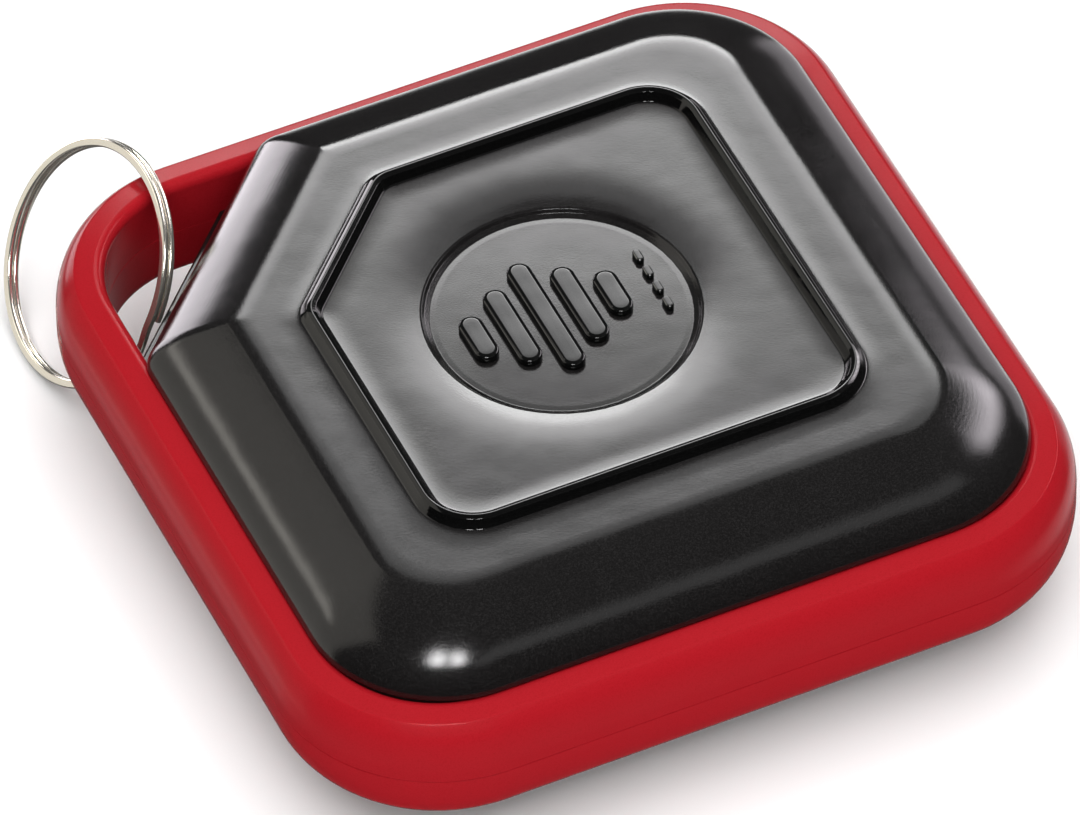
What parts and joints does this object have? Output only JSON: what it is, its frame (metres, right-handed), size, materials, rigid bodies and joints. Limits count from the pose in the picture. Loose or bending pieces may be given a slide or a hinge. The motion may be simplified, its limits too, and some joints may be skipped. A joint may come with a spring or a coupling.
{
  "type": "key ring shaker",
  "caption": "Palm-size rounded-square hand shaker on a key ring: black half shells around loose steel shot, clamped by a red frame whose open corner carries a split ring.",
  "frame": {"origin": "centre of the flat underside, which is the face it lies on", "axes": "+Z out of the face with the disc, +Y to the top of that face, +X to its right; the ring's corner is at -X, +Y"},
  "size_m": [0.064, 0.0711, 0.0211],
  "materials": {
    "black_plastic": "semi-gloss moulded black plastic with a fine orange-peel skin and a polished ridge",
    "red_plastic": "semi-gloss moulded red plastic",
    "nickel_plate": "bright nickel-plated spring steel",
    "shot_steel": "plain tumbled steel balls"
  },
  "bodies": {
    "body": {"top_shell": "black_plastic", "bottom_shell": "black_plastic", "frame_upper": "red_plastic", "frame_lower": "red_plastic"},
    "ring": {"split_ring": "nickel_plate"},
    "shot_bed": {"steel_shot_01": "shot_steel", "steel_shot_02": "shot_steel", "steel_shot_03": "shot_steel", "steel_shot_04": "shot_steel", "steel_shot_05": "shot_steel", "steel_shot_06": "shot_steel", "steel_shot_07": "shot_steel", "steel_shot_08": "shot_steel", "steel_shot_09": "shot_steel", "steel_shot_10": "shot_steel", "steel_shot_11": "shot_steel", "steel_shot_12": "shot_steel", "steel_shot_13": "shot_steel", "steel_shot_14": "shot_steel", "steel_shot_15": "shot_steel", "steel_shot_16": "shot_steel", "steel_shot_17": "shot_steel", "steel_shot_18": "shot_steel", "steel_shot_19": "shot_steel", "steel_shot_20": "shot_steel", "steel_shot_21": "shot_steel", "steel_shot_22": "shot_steel", "steel_shot_23": "shot_steel", "steel_shot_24": "shot_steel", "steel_shot_25": "shot_steel", "steel_shot_26": "shot_steel", "steel_shot_27": "shot_steel"}
  },
  "joints": [
    {"name": "ring_swing", "type": "hinge", "parent": "body", "child": "ring", "pos_m": [-0.02826, 0.02155, 0.00434], "axis": [0.5114, -0.1103, 0.8523], "range_deg": [0, 120]},
    {"name": "shot_slide", "type": "slide", "parent": "body", "child": "shot_bed", "axis": [0, 1, 0], "range_m": [0, 0.025]}
  ]
}
